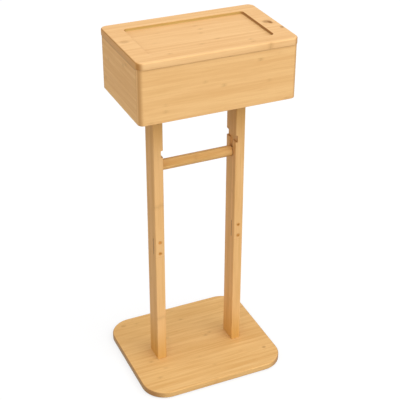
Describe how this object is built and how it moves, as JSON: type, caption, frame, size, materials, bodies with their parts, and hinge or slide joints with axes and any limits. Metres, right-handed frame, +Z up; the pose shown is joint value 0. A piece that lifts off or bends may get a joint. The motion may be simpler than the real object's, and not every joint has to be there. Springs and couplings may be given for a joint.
{
  "type": "toilet paper stand",
  "caption": "Free-standing bamboo stand: base plate, lap-jointed posts with a lift-out cross bar, and a storage box whose lift-off lid has a shallow tray in its top.",
  "frame": {"origin": "middle of the base plate's footprint, on the surface that the foot pads stand on", "axes": "+Z up along the posts, +X to the right as seen from the front, +Y to the back"},
  "size_m": [0.315, 0.27, 0.7395],
  "materials": {
    "bamboo_panel": "satin lacquered laminated bamboo board, grain along the board",
    "bamboo_post": "satin lacquered laminated bamboo, grain along the post",
    "bamboo_bar": "satin lacquered turned bamboo",
    "dowel": "raw fluted hardwood",
    "steel": "zinc plated steel",
    "lap_screw": "bronze-coloured plated steel",
    "insert": "plain brass",
    "foot_pad": "matt rubber"
  },
  "bodies": {
    "stand": {"base_plate": "bamboo_panel", "foot_pad_front_left": "foot_pad", "foot_pad_front_right": "foot_pad", "foot_pad_back_left": "foot_pad", "foot_pad_back_right": "foot_pad", "left_post_lower": "bamboo_post", "left_post_upper": "bamboo_post", "right_post_lower": "bamboo_post", "right_post_upper": "bamboo_post", "left_lap_screws": "lap_screw", "right_lap_screws": "lap_screw", "base_bolts": "steel", "base_inserts": "insert", "box_floor": "bamboo_panel", "box_front": "bamboo_panel", "box_back": "bamboo_panel", "box_left": "bamboo_panel", "box_right": "bamboo_panel", "corner_dowels": "dowel", "floor_dowels": "dowel", "box_bolts": "steel", "box_washers": "steel", "box_inserts": "insert"},
    "lid": {"lid_panel": "bamboo_panel", "lid_left_batten": "bamboo_panel", "lid_right_batten": "bamboo_panel", "batten_screws": "steel"},
    "bar": {"cross_bar": "bamboo_bar"}
  },
  "joints": [
    {"name": "lid_lift", "type": "slide", "parent": "stand", "child": "lid", "axis": [0, 0, 1], "range_m": [0, 0.1]},
    {"name": "bar_lift", "type": "slide", "parent": "stand", "child": "bar", "axis": [0, 0, 1], "range_m": [0, 0.034]}
  ]
}
